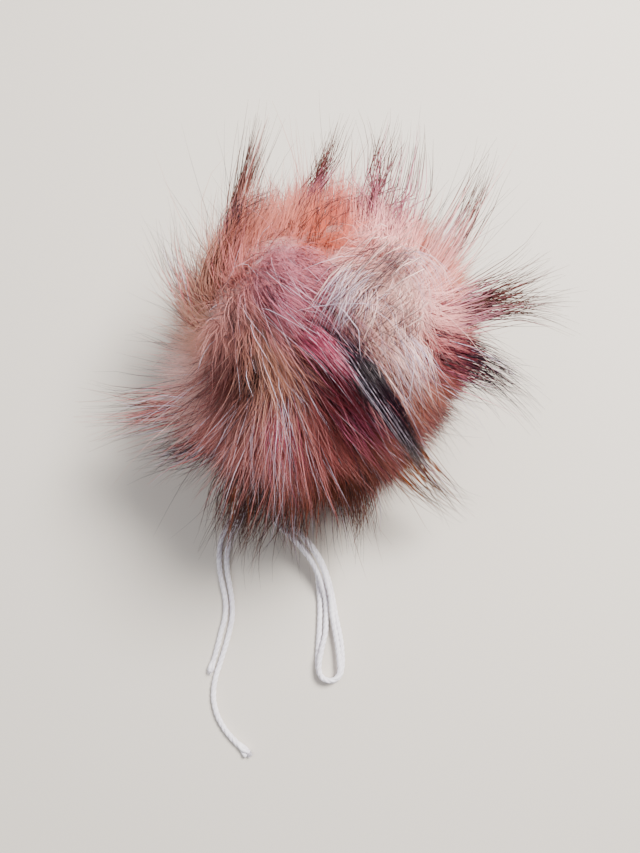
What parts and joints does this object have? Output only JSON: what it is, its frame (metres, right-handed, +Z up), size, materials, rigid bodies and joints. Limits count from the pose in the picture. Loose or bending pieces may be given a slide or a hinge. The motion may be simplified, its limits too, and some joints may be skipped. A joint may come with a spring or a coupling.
{
  "type": "pom pom with yarn ties",
  "caption": "Long-pile faux fur pom pom in pink and cream with dark tips, with a white cotton yarn tie: a loop and free tails.",
  "frame": {"origin": "middle of the small flat spot on which the ball rests", "axes": "+Z up, away from the surface; +Y points away from the side on which the yarn comes out"},
  "size_m": [0.1518, 0.2112, 0.1046],
  "materials": {
    "fur": "long pile",
    "cotton": "matt"
  },
  "bodies": {
    "root": {"fur_ball": "fur", "tail_short": "cotton", "tail_long": "cotton", "loop_outer": "cotton", "loop_inner": "cotton"}
  },
  "joints": []
}
